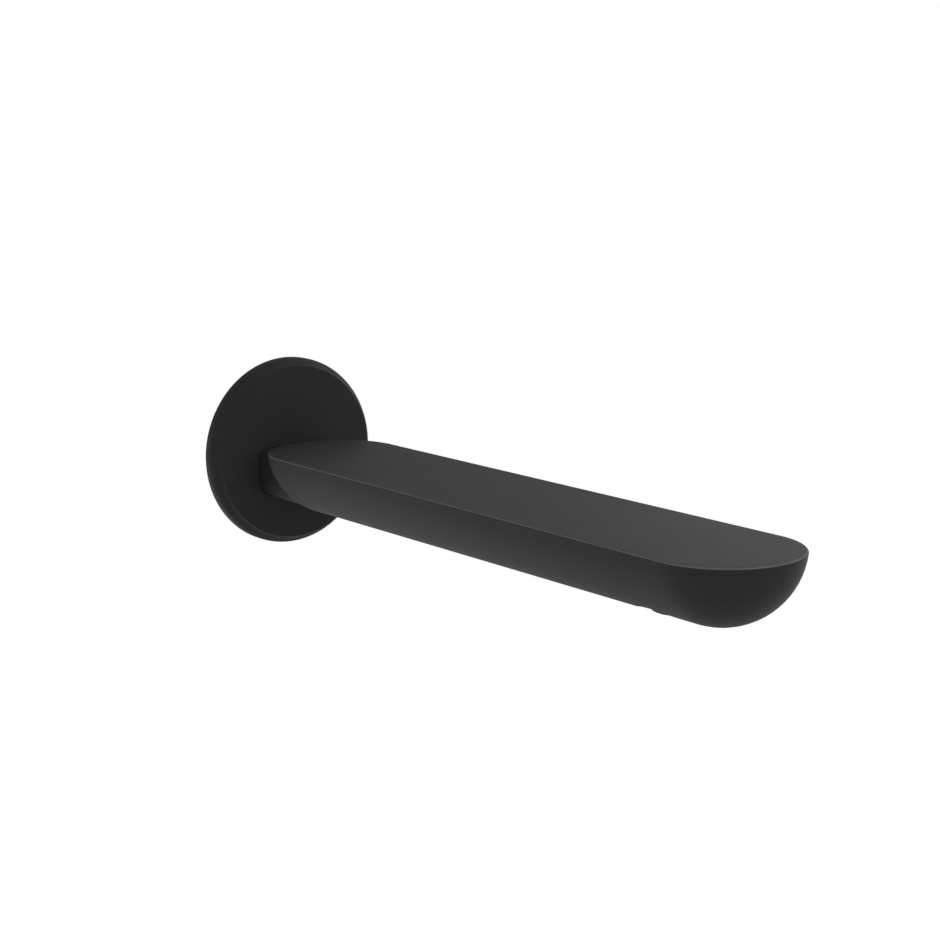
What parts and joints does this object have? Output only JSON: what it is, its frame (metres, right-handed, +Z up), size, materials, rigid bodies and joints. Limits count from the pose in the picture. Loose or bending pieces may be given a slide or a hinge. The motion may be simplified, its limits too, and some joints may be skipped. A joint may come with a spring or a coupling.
{
  "type": "basin spout",
  "caption": "Wall-mounted basin spout: a slim boat-shaped body with a flat top on a round wall flange, with a concealed aerator below its tip.",
  "frame": {"origin": "centre of the flange's back face, on the wall plane", "axes": "+Y into the wall, along the spout from tip to wall; +X to the right when facing the wall; +Z up"},
  "size_m": [0.06, 0.2393, 0.06],
  "materials": {
    "black_coat": "matte powder coat on brass",
    "brass": "turned",
    "rubber": "matte",
    "steel": "stainless",
    "white_resin": "moulded acetal",
    "grey_resin": "moulded acetal"
  },
  "bodies": {
    "root": {"spout_body": "black_coat", "wall_flange": "black_coat", "wall_gasket": "rubber", "neck_seal": "rubber", "wall_spigot": "brass", "spigot_washer": "rubber", "inner_o_ring": "rubber", "outer_o_ring": "rubber", "grub_screw": "steel", "aerator_housing": "black_coat", "aerator_seal": "rubber", "inlet_screen": "grey_resin", "regulator_ring": "rubber", "flow_regulator": "white_resin", "jet_plate": "grey_resin", "mixing_sleeve": "white_resin", "outlet_honeycomb": "white_resin"}
  },
  "joints": []
}
